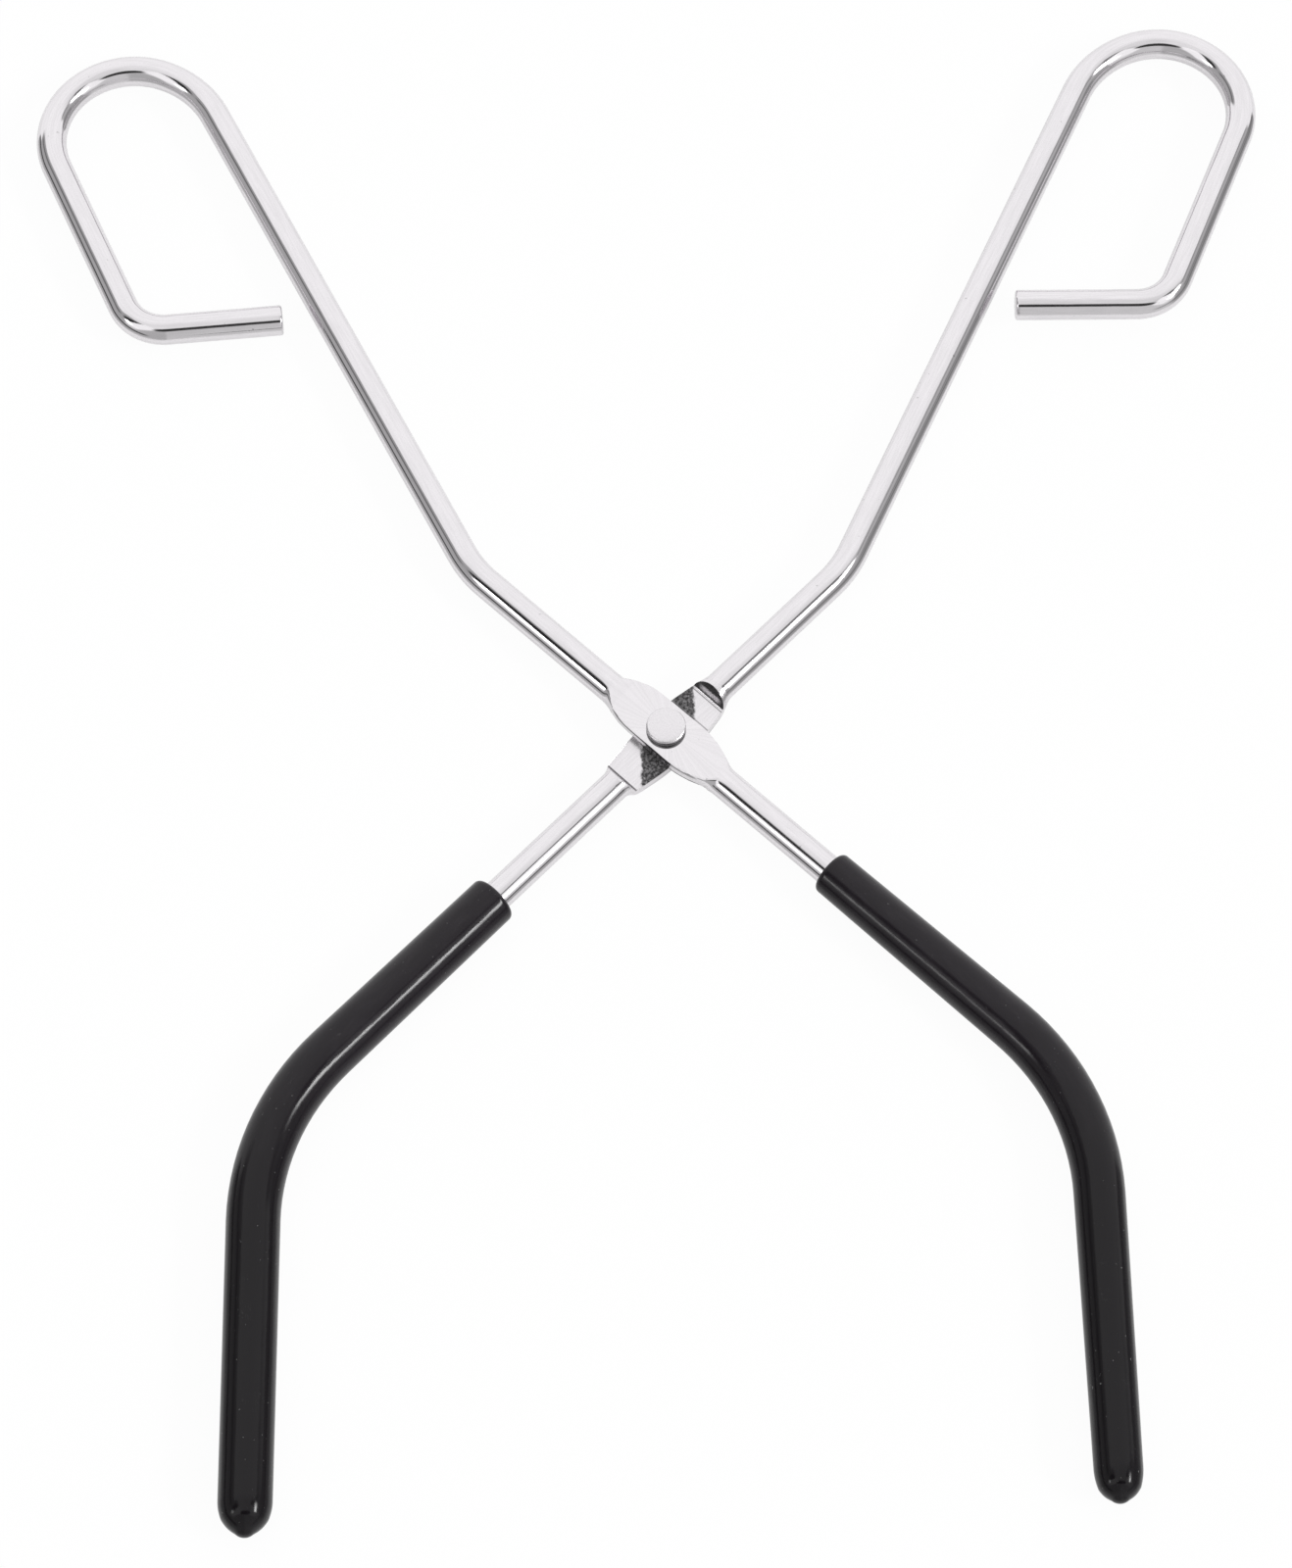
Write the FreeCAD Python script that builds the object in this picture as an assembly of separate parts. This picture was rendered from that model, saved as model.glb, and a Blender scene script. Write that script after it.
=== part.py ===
import FreeCAD, Part
import math
import os

# Scissor tongs for laboratory glassware: two bent round-wire arms that cross at
# a riveted half-lap pivot, with finger loops at one end and rubber grip
# sleeves over the jaws at the other.
# Millimetres and degrees.  The origin is on the pivot axis, in the plane where
# the two blades meet.  +Z is the pivot axis, +Y runs along the centre line
# towards the finger loops, and the jaws point to -Y.
# The front arm lies on top at the pivot: its jaw is at +X, its loop at -X.
# The rear arm is the other way round.

# Wire
wire_diameter = 5.0
wire_end_chamfer = 0.35

# Angle of each blade from the centre line at the open rest position
half_spread_angle = 45.45

# Distances along the arms from the pivot, to the corner points of the bends
front_shank_bend_at = 43.4
rear_shank_bend_at = 41.2
front_jaw_bend_at = 89.6
rear_jaw_bend_at = 91.8

# Bend between the blade and the shank
shank_bend_angle = 19.75
shank_bend_radius = 20.0

# Shank, from the corner of its bend to the start of the finger loop
front_shank_length = 96.9
rear_shank_length = 99.4

# Finger loop: a wide lead-in off the shank, the tighter round end, a straight
# outer side, the lower corner and the short cut end
loop_lead_radius = 16.5
loop_lead_angle = 45.0
loop_radius = 13.5
front_loop_angle = 177.1
rear_loop_angle = 177.75
loop_side_length = 34.7
loop_corner_radius = 7.5
front_corner_angle = 71.0
rear_corner_angle = 67.6
front_end_length = 24.4
rear_end_length = 24.7

# Jaw bend, and the jaw from that corner to the tip of its sleeve
jaw_bend_radius = 40.0
front_jaw_angle = 45.35
rear_jaw_angle = 44.1
front_jaw_length = 66.1
rear_jaw_length = 66.3

# Coined half lap
blade_thickness = 2.1
blade_gap = 0.1
blade_width = 8.1
blade_end_width = 6.4
blade_half_length = 9.5
blade_edge_radius = 0.45
recess_half_length = 9.95
recess_shift = 0.6
shoulder_slope_angle = 22.0
shoulder_width = 6.5
shoulder_height = 4.9
swell_start = 9.2
swell_length = 12.2
flat_runout = 13.4

# Rivet
rivet_shank_diameter = 3.6
rivet_head_diameter = 6.2
rivet_head_height = 1.35
rivet_head_bevel = 0.3
rivet_tail_diameter = 6.4
rivet_tail_height = 1.2
rivet_tail_flat = 2.6
rivet_tail_bulge_diameter = 5.45
rivet_tail_bulge_height = 0.8
rivet_running_clearance = 0.05
rivet_head_clearance = 0.06

# Grip sleeves
front_sleeve_start = 34.6
rear_sleeve_start = 39.1
front_sleeve_mouth_diameter = 7.3
front_sleeve_bend_diameter = 8.0
front_sleeve_end_diameter = 7.5
rear_sleeve_mouth_diameter = 8.0
rear_sleeve_bend_diameter = 8.4
rear_sleeve_end_diameter = 8.3
sleeve_mouth_rounding = 0.9
sleeve_tip_length = 5.6
sleeve_neck_ratio = 0.86
sleeve_nose_radius = 2.0
sleeve_nose_flat = 0.7
sleeve_tip_wall = 3.8

wire_radius = wire_diameter / 2
up = FreeCAD.Vector(0, 0, 1)


def direction(heading):
    """Unit vector in the plane of the arms, heading in degrees from +X."""
    a = math.radians(heading)
    return FreeCAD.Vector(math.cos(a), math.sin(a), 0)


def loft_ring(centre, ahead, radius):
    """Round end of a loft, drawn as a spline."""
    return Part.Wire(Part.Circle(centre, ahead, radius).toBSpline().toShape())


def curve(first, middle, last):
    """Rounded stretch of a turned outline, through three points."""
    return Part.Arc(first, middle, last).toBSpline().toShape()


class Rod:
    """Round bar laid down run by run and bend by bend in the plane of the arms."""

    def __init__(self, start, heading):
        self.point = start
        self.heading = heading
        self.pieces = []

    def run(self, length, radius):
        ahead = direction(self.heading)
        self.pieces.append(Part.makeCylinder(radius, length, self.point, ahead))
        self.point = self.point + ahead * length

    def taper(self, length, radius, end_radius):
        ahead = direction(self.heading)
        end = self.point + ahead * length
        sections = [loft_ring(self.point, ahead, radius), loft_ring(end, ahead, end_radius)]
        self.pieces.append(Part.makeLoft(sections, True, True))
        self.point = end

    def bend(self, turn, centre_radius, radius):
        """Turns left for a positive angle and right for a negative one."""
        side = 1 if turn > 0 else -1
        ahead = direction(self.heading)
        centre = self.point + direction(self.heading + 90 * side) * centre_radius
        disc = Part.Face(Part.Wire(Part.makeCircle(radius, self.point, ahead)))
        self.pieces.append(disc.revolve(centre, up * side, abs(turn)))
        self.heading = self.heading + turn
        self.point = centre + direction(self.heading - 90 * side) * centre_radius

    def solid(self):
        whole = self.pieces[0].multiFuse(self.pieces[1:]) if self.pieces[1:] else self.pieces[0]
        return whole.removeSplitter()


def setback(turn, radius):
    """Distance from a bend's corner point to where its arc begins."""
    return radius * math.tan(math.radians(abs(turn)) / 2)


def on_plane(edge, point, normal):
    ends = [v.Point for v in edge.Vertexes]
    ends.append(edge.CenterOfMass)
    return all(abs((p - point).dot(normal)) < 1e-4 for p in ends)


def spot(point, heading, along, off):
    """Place beside a bar: along its heading from the point, and off to its left."""
    return point + direction(heading) * along + direction(heading + 90) * off


def place_in_plane(shape, heading):
    """Turns a shape drawn along +X to the given heading."""
    return shape.rotated(FreeCAD.Vector(0, 0, 0), up, heading)


def shank_side(side, bend_at, length, loop_turn, corner_turn, end_length):
    """Wire from the blade up the shank and round the finger loop to its cut end."""
    heading = 90 + side * half_spread_angle
    rod = Rod(direction(heading) * swell_length, heading)
    turn = -side * shank_bend_angle
    back = setback(turn, shank_bend_radius)
    rod.run(bend_at - back - swell_length, wire_radius)
    rod.bend(turn, shank_bend_radius, wire_radius)
    rod.run(length - back, wire_radius)
    rod.bend(side * loop_lead_angle, loop_lead_radius, wire_radius)
    rod.bend(side * (loop_turn - loop_lead_angle), loop_radius, wire_radius)
    corner_back = setback(corner_turn, loop_corner_radius)
    rod.run(loop_side_length - corner_back, wire_radius)
    rod.bend(side * corner_turn, loop_corner_radius, wire_radius)
    rod.run(end_length - corner_back, wire_radius)
    wire = rod.solid()
    rim = [e for e in wire.Edges if on_plane(e, rod.point, direction(rod.heading))]
    return wire.makeChamfer(wire_end_chamfer, rim)


def jaw_side(side, bend_at, turn, length):
    """Wire from the blade round the jaw bend to its end inside the sleeve."""
    heading = -90 + side * half_spread_angle
    rod = Rod(direction(heading) * swell_length, heading)
    back = setback(turn, jaw_bend_radius)
    rod.run(bend_at - back - swell_length, wire_radius)
    rod.bend(-side * turn, jaw_bend_radius, wire_radius)
    rod.run(length - back - sleeve_tip_wall, wire_radius)
    return rod.solid()


def oval_wire(at, half_width, half_height):
    """Oval across the blade, for the swell where the wire was squeezed sideways."""
    centre = FreeCAD.Vector(at, 0, 0)
    oval = Part.Ellipse(
        centre + FreeCAD.Vector(0, half_width, 0),
        centre + FreeCAD.Vector(0, 0, half_height),
        centre,
    )
    return Part.Wire(oval.toShape())


def swell(end):
    """Round wire growing into the wider shoulder, at one end of the blade."""
    inner = end * swell_start
    outer = end * swell_length
    shoulder = oval_wire(inner, shoulder_width / 2, shoulder_height / 2)
    across = FreeCAD.Vector(1, 0, 0)
    return Part.makeLoft([shoulder, loft_ring(across * outer, across, wire_radius)], True, True)


def barrel_leaf():
    """Flat coined leaf with bowed sides, from the lap plane up, along +X."""
    half_end = blade_end_width / 2
    half_mid = blade_width / 2
    x = blade_half_length
    corners = [
        FreeCAD.Vector(-x, -half_end, 0),
        FreeCAD.Vector(x, -half_end, 0),
        FreeCAD.Vector(x, half_end, 0),
        FreeCAD.Vector(-x, half_end, 0),
    ]
    below = Part.Arc(corners[0], FreeCAD.Vector(0, -half_mid, 0), corners[1]).toShape()
    above = Part.Arc(corners[2], FreeCAD.Vector(0, half_mid, 0), corners[3]).toShape()
    right = Part.makeLine(corners[1], corners[2])
    left = Part.makeLine(corners[3], corners[0])
    outline = Part.Face(Part.Wire([below, right, above, left]))
    leaf = outline.extrude(up * (blade_gap / 2 + blade_thickness))
    top = FreeCAD.Vector(0, 0, blade_gap / 2 + blade_thickness)
    bowed = [e for e in leaf.Edges if on_plane(e, top, up) and e.Length > x]
    return leaf.makeFillet(blade_edge_radius, bowed)


def prism_across(points, half_width):
    """Prism across the blade from a profile of (along, height) points."""
    loop = [FreeCAD.Vector(p[0], -half_width, p[1]) for p in points]
    loop.append(loop[0])
    face = Part.Face(Part.makePolygon(loop))
    return face.extrude(FreeCAD.Vector(0, 2 * half_width, 0))


def lap_recess():
    """Space cleared under the leaf for the other arm, with drafted shoulders."""
    floor = blade_gap / 2
    depth = wire_diameter
    flare = depth * math.tan(math.radians(shoulder_slope_angle))
    near = recess_shift - recess_half_length
    far = recess_shift + recess_half_length
    profile = [(near, floor), (far, floor), (far + flare, floor - depth), (near - flare, floor - depth)]
    return prism_across(profile, blade_width)


def outer_flat():
    """What the die pressed away above the leaf, running out onto the round wire."""
    level = blade_gap / 2 + blade_thickness
    x = blade_half_length
    profile = [(-flat_runout, wire_radius), (-x, level), (x, level), (flat_runout, wire_radius)]
    profile = profile + [(flat_runout, wire_diameter), (-flat_runout, wire_diameter)]
    return prism_across(profile, blade_width)


def blade(bore_radius):
    """Coined middle of an arm, along +X towards the jaw, with the leaf on top."""
    body = swell(-1).multiFuse([swell(1), barrel_leaf()])
    body = body.cut(lap_recess())
    bore = Part.makeCylinder(bore_radius, 2 * wire_diameter, FreeCAD.Vector(0, 0, -wire_diameter), up)
    return body.cut(bore)


def arm(side, bend_at, length, loop_turn, corner_turn, end_length, jaw_at, jaw_turn, jaw_length, bore_radius):
    """One whole wire arm.  side is +1 for the arm whose jaw is at +X, on top."""
    heading = -90 + side * half_spread_angle
    middle = blade(bore_radius)
    flat = outer_flat()
    if side < 0:
        origin = FreeCAD.Vector(0, 0, 0)
        middle = middle.rotated(origin, FreeCAD.Vector(1, 0, 0), 180)
        flat = flat.rotated(origin, FreeCAD.Vector(1, 0, 0), 180)
    loop_part = shank_side(side, bend_at, length, loop_turn, corner_turn, end_length)
    jaw_part = jaw_side(side, jaw_at, jaw_turn, jaw_length)
    whole = place_in_plane(middle, heading).multiFuse([loop_part, jaw_part])
    whole = whole.cut(place_in_plane(flat, heading))
    return whole.removeSplitter()


def turned(edges, axis_point, axis):
    """Solid of revolution from the edges of half an outline."""
    return Part.Face(Part.Wire(edges)).revolve(axis_point, axis, 360)


def lines(points):
    return [Part.makeLine(a, b) for a, b in zip(points, points[1:])]


def rivet():
    """Flat-headed rivet with a bevelled rim, peened over below the rear leaf."""
    shank = rivet_shank_diameter / 2
    head = rivet_head_diameter / 2
    tail = rivet_tail_diameter / 2
    flat = rivet_tail_flat / 2
    leaf_face = blade_gap / 2 + blade_thickness
    base = leaf_face + rivet_head_clearance
    top = base + rivet_head_height
    end = -leaf_face - rivet_tail_height
    bulge = rivet_tail_bulge_diameter / 2
    outline = [
        (0, end),
        (0, top),
        (head - rivet_head_bevel, top),
        (head, top - rivet_head_bevel),
        (head, base),
        (shank, base),
        (shank, -leaf_face),
        (tail, -leaf_face),
        (bulge, -leaf_face - rivet_tail_bulge_height),
        (flat, end),
        (0, end),
    ]
    edges = lines([FreeCAD.Vector(off, 0, height) for off, height in outline])
    return turned(edges, FreeCAD.Vector(0, 0, 0), up)


def sleeve_mouth(point, heading, radius):
    """Open end of a sleeve, as long as the rounding of its lip."""
    lip = sleeve_mouth_rounding
    corner = lip * (1 - math.sqrt(0.5))
    start = spot(point, heading, 0, radius - lip)
    end = spot(point, heading, lip, radius)
    edges = [curve(start, spot(point, heading, corner, radius - corner), end)]
    edges += lines([end, spot(point, heading, lip, 0), point, start])
    return turned(edges, point, direction(heading))


def bullet_tip(point, heading, radius):
    """Closed end of a sleeve: a cone with a round nose, blended into the tube."""
    nose = min(sleeve_nose_radius, 0.6 * radius)
    nose_centre = sleeve_tip_length - nose
    flat = sleeve_nose_flat / 2
    cone_slope = math.radians(45)
    gate_slope = math.asin(flat / nose)
    middle_slope = (cone_slope + gate_slope) / 2

    def on_nose(slope):
        return spot(point, heading, nose_centre + nose * math.cos(slope), nose * math.sin(slope))

    neck = sleeve_neck_ratio * radius
    neck_along = nose_centre + 2 * nose * math.cos(cone_slope) - neck
    shoulder = spot(point, heading, 0.55 * neck_along, (0.75 + 0.25 * sleeve_neck_ratio) * radius)
    tube = spot(point, heading, 0, radius)
    cone = spot(point, heading, neck_along, neck)
    axis_end = spot(point, heading, nose_centre + nose * math.cos(gate_slope), 0)
    edges = [curve(tube, shoulder, cone)]
    edges += lines([cone, on_nose(cone_slope)])
    edges.append(curve(on_nose(cone_slope), on_nose(middle_slope), on_nose(gate_slope)))
    edges += lines([on_nose(gate_slope), axis_end, point, tube])
    return turned(edges, point, direction(heading))


def sleeve(side, start, jaw_at, turn, length, mouth_diameter, bend_diameter, end_diameter, wire):
    """Rubber sleeve pulled over the jaw: open at the pivot end, closed at the tip."""
    heading = -90 + side * half_spread_angle
    lip_end = start + sleeve_mouth_rounding
    mouth = sleeve_mouth(direction(heading) * start, heading, mouth_diameter / 2)
    rod = Rod(direction(heading) * lip_end, heading)
    back = setback(turn, jaw_bend_radius)
    rod.taper(jaw_at - back - lip_end, mouth_diameter / 2, bend_diameter / 2)
    rod.bend(-side * turn, jaw_bend_radius, bend_diameter / 2)
    rod.taper(length - back - sleeve_tip_length, bend_diameter / 2, end_diameter / 2)
    tip = bullet_tip(rod.point, rod.heading, end_diameter / 2)
    rod.pieces = [mouth] + rod.pieces + [tip]
    return rod.solid().cut(wire)


shank_radius = rivet_shank_diameter / 2

front_wire = arm(
    side=1,
    bend_at=front_shank_bend_at,
    length=front_shank_length,
    loop_turn=front_loop_angle,
    corner_turn=front_corner_angle,
    end_length=front_end_length,
    jaw_at=front_jaw_bend_at,
    jaw_turn=front_jaw_angle,
    jaw_length=front_jaw_length,
    bore_radius=shank_radius + rivet_running_clearance,
)
rear_wire = arm(
    side=-1,
    bend_at=rear_shank_bend_at,
    length=rear_shank_length,
    loop_turn=rear_loop_angle,
    corner_turn=rear_corner_angle,
    end_length=rear_end_length,
    jaw_at=rear_jaw_bend_at,
    jaw_turn=rear_jaw_angle,
    jaw_length=rear_jaw_length,
    bore_radius=shank_radius,
)
front_sleeve = sleeve(
    side=1,
    start=front_sleeve_start,
    jaw_at=front_jaw_bend_at,
    turn=front_jaw_angle,
    length=front_jaw_length,
    mouth_diameter=front_sleeve_mouth_diameter,
    bend_diameter=front_sleeve_bend_diameter,
    end_diameter=front_sleeve_end_diameter,
    wire=front_wire,
)
rear_sleeve = sleeve(
    side=-1,
    start=rear_sleeve_start,
    jaw_at=rear_jaw_bend_at,
    turn=rear_jaw_angle,
    length=rear_jaw_length,
    mouth_diameter=rear_sleeve_mouth_diameter,
    bend_diameter=rear_sleeve_bend_diameter,
    end_diameter=rear_sleeve_end_diameter,
    wire=rear_wire,
)

nodes = {
    "front_arm_wire": front_wire,
    "rear_arm_wire": rear_wire,
    "pivot_rivet": rivet(),
    "front_jaw_sleeve": front_sleeve,
    "rear_jaw_sleeve": rear_sleeve,
}

for name, shape in nodes.items():
    body = shape.Solids[0] if len(shape.Solids) == 1 else shape
    box = body.BoundBox
    spans = (box.XMin, box.XMax, box.YMin, box.YMax, box.ZMin, box.ZMax)
    print(name, len(shape.Solids), body.isValid(), round(body.Volume, 1), [round(s, 2) for s in spans])
    body.exportStep(os.path.join("parts", name + ".step"))
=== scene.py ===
import math

import bmesh
import bpy
from mathutils import Matrix, Vector


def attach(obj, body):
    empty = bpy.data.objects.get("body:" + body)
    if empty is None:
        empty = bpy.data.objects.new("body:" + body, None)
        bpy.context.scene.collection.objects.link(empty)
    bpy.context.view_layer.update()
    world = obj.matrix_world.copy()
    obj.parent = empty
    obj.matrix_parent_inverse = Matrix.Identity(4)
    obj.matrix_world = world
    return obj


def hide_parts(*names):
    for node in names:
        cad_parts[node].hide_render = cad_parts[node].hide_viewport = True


# Scissor tongs for laboratory glassware: two plated wire arms that cross at a
# riveted half lap, and a rubber sleeve on each jaw.
# Shapes are worked out in millimetres about the pivot and written in metres.

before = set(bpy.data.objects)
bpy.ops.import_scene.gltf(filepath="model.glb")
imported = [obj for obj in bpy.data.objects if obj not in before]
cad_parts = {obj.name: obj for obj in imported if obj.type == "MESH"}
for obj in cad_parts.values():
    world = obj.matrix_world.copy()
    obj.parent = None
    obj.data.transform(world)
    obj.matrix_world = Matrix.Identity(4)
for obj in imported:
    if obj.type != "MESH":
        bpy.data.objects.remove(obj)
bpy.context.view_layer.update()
millimetre = 0.001
print("frame loaded:", ", ".join(sorted(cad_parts)))

photoView = {
    "width": 1318,  # pixels
    "height": 1600,
    "elevation": 65.0,  # degrees above the table
    "azimuth": -1.56,
    "pixelsAway": 5500.0,  # distance and lens, both in pixels of the photograph
    "pixelSize": 0.15625,  # mm on the object, at the pivot
    "pivotAcross": 681.4,  # where the pivot shows
    "pivotDown": 750.6,
    "sensor": 36.0,
    "clip": (0.05, 20.0),  # m
}


def setCamera():
    tilt = math.radians(photoView["elevation"])
    yaw = Matrix.Rotation(math.radians(photoView["azimuth"]), 3, "Z")
    right = yaw @ Vector((1, 0, 0))
    upward = yaw @ Vector((0, math.sin(tilt), math.cos(tilt)))
    backward = yaw @ Vector((0, -math.cos(tilt), math.sin(tilt)))
    size = photoView["pixelSize"]
    across = (photoView["pivotAcross"] - photoView["width"] / 2) * size
    above = (photoView["height"] / 2 - photoView["pivotDown"]) * size
    place = backward * photoView["pixelsAway"] * size - right * across - upward * above

    data = bpy.data.cameras.new("photoCamera")
    data.sensor_fit = "VERTICAL"
    data.sensor_height = photoView["sensor"]
    data.lens = photoView["sensor"] * photoView["pixelsAway"] / photoView["height"]
    data.clip_start, data.clip_end = photoView["clip"]
    camera = bpy.data.objects.new("photoCamera", data)
    turn = Matrix((right, upward, backward)).transposed()
    camera.matrix_world = Matrix.Translation(place * millimetre) @ turn.to_4x4()
    bpy.context.scene.collection.objects.link(camera)
    bpy.context.scene.camera = camera


setCamera()
bpy.context.scene.view_settings.view_transform = "Standard"
print("camera set")


class Signal:
    # One output socket; sums and products of signals add their Math nodes.
    def __init__(self, shader, socket):
        self.shader = shader
        self.socket = socket

    def maths(self, operation, *others):
        return self.shader.maths(operation, self, *others)

    def __add__(self, other):
        return self.maths("ADD", other)

    def __sub__(self, other):
        return self.maths("SUBTRACT", other)

    def __rsub__(self, other):
        return self.shader.maths("SUBTRACT", other, self)

    def __mul__(self, other):
        return self.maths("MULTIPLY", other)

    def __truediv__(self, other):
        return self.maths("DIVIDE", other)

    def __abs__(self):
        return self.maths("ABSOLUTE")

    __radd__ = __add__
    __rmul__ = __mul__

    def root(self):
        return self.maths("SQRT")

    def most(self, other):
        return self.maths("MAXIMUM", other)

    def least(self, other):
        return self.maths("MINIMUM", other)

    def ease(self, start, end):
        # 0 at start, 1 at end, smooth between; start may be the larger one
        limits = {"Value": self, "From Min": start, "From Max": end}
        return self.shader.node("MapRange", {"interpolation_type": "SMOOTHSTEP"}, limits)

    def toward(self, other, share):
        return self + share * (other - self)

    def span(self, low, high):
        return self.shader.node("MapRange", {}, {"Value": self, "To Min": low, "To Max": high})

    def part(self, name):
        return Signal(self.shader, self.socket.node.outputs[name])


class Shader:
    # The nodes of a material or of the world
    def __init__(self, owner):
        owner.use_nodes = True
        self.owner = owner
        self.tree = owner.node_tree
        self.tree.nodes.clear()

    def node(self, kind, settings=None, inputs=None, output=0):
        made = self.tree.nodes.new("ShaderNode" + kind)
        for name, value in (settings or {}).items():
            setattr(made, name, value)
        for name, value in (inputs or {}).items():
            if isinstance(value, Signal):
                self.tree.links.new(value.socket, made.inputs[name])
            else:
                made.inputs[name].default_value = value
        if made.outputs:
            return Signal(self, made.outputs[output])

    def maths(self, operation, *values):
        return self.node("Math", {"operation": operation}, dict(enumerate(values)))

    def blend(self, factor, first, second):
        # colour mix: the colour sockets of a Mix node are numbers 6 and 7
        colours = {0: factor, 6: first, 7: second}
        return self.node("Mix", {"data_type": "RGBA"}, colours, 2)

    def stretch(self, vector, scale):
        return self.node("VectorMath", {"operation": "MULTIPLY"}, {0: vector, 1: scale})

    def noise(self, vector, scale, detail=3.0, roughness=0.55):
        values = {"Vector": vector, "Scale": scale, "Detail": detail, "Roughness": roughness}
        return self.node("TexNoise", {}, values)

    def bump(self, height, strength, distance, before=None):
        values = {"Height": height, "Strength": strength, "Distance": distance}
        if before is not None:
            values["Normal"] = before
        return self.node("Bump", {}, values)

    def surface(self, values):
        shade = self.node("BsdfPrincipled", {}, values)
        self.node("OutputMaterial", {}, {"Surface": shade})
        return self.owner


def grey(level):
    return (level, level, level, 1.0)


studio = {
    # levels of light; a pair is for the left and the right of the room
    "ceiling": 1.07,
    "ceilingNear": (0.93, 0.84),  # towards the camera
    "ceilingLow": 0.9,  # below the horizon, as a share
    "gap": (0.40, 0.58),  # dim room beside the ceiling
    "gapAbove": 0.30,  # so much lighter near the zenith
    "horizon": (0.46, 0.38),
    "posts": (0.6, 0.35),  # dark uprights outside the ceiling, as a share
    "skyline": (0.85, 0.4),  # dark band along the horizon, as a share
    "patch": (0.02, 0.20),  # darkest part of each gap
    "panel": 1.12,
    "tube": (6.0, 28.0),  # lamp tube in front of each panel
    "wall": (0.50, 0.68),
    "camera": 0.04,
}

roomPlan = {
    # where things are on the dome of the room, flattened into a disc: zenith in
    # the middle, horizon at 1, the camera's side at -Y; numbers that go through
    # ease are where a soft edge starts and ends
    "middle": (-0.05, 0.05),
    "brinkNear": 0.29,  # the ceiling's edge, just above the camera
    "brinkSlopeFrom": (0.10, 0.18),
    "brinkSlopeLength": 0.26,
    "brinkSlope": (0.32, 0.37),
    "brinkStepFrom": (0.45, 0.46),
    "brinkStepTo": (0.56, 0.62),
    "brinkStep": (0.4, 0.15),
    "brinkLift": (0.78, 0.90),
    "brinkLiftHeight": 0.2,
    "brinkSoft": (-0.03, 0.035),
    "curtainNear": (0.12, 0.24),
    "curtainFar": (0.44, 0.37),
    "curtainSide": (0.43, 0.5),
    "ceilingNearTo": (-0.05, 0.28),
    "ceilingLowTo": (-0.12, 0.02),
    "gapAbove": (0.38, 0.18),
    "horizon": (0.55, 0.92),
    "post": (0.645, 0.60),
    "postWidth": (0.075, 0.02),
    "outerPost": 0.87,
    "outerPostWidth": (0.07, 0.02),
    "postFoot": (-0.08, -0.02),
    "skylineDrop": 0.03,
    "skylineWidth": (0.13, 0.05),
    "skylineSide": (0.4, 0.6),
    "patchAcross": (0.44, 0.37),
    "patchUp": (-0.14, -0.075),
    "patchHalfWidth": (0.17, 0.10),
    "patchHalfHeight": (0.08, 0.075),
    "patchSoft": (1.2, 0.75),
    "panelTopLeft": (-0.37, 0.04),  # slope and drop
    "panelTopRight": (-0.95, 0.13),
    "panelTopFlat": 0.52,
    "panelSoft": (-0.01, 0.012),
    "wallSide": (0.92, 0.75),
    "panelFoot": (0.36, 0.42),
    "panelFootSlope": 0.3,
    "panelFootSoft": (-0.08, 0.03),
    "panelShift": 0.16,
    "panelSide": (0.12, 0.18),
    "panelLow": (0.95, 0.70),
    "tubeInnerFrom": (0.545, 0.52),
    "tubeInnerTo": (0.58, 0.54),
    "tubeOuterFrom": (0.70, 0.67),
    "tubeOuterTo": (0.60, 0.55),
    "tubeTopFrom": (-0.18, 0.02),
    "tubeTopTo": (-0.23, -0.16),
    "tubeFoot": (-0.38, -0.30),
    "camera": (0.06, -0.40),
    "cameraStretch": (14, 80),
    "cameraSoft": (1.15, 0.8),
}


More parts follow.
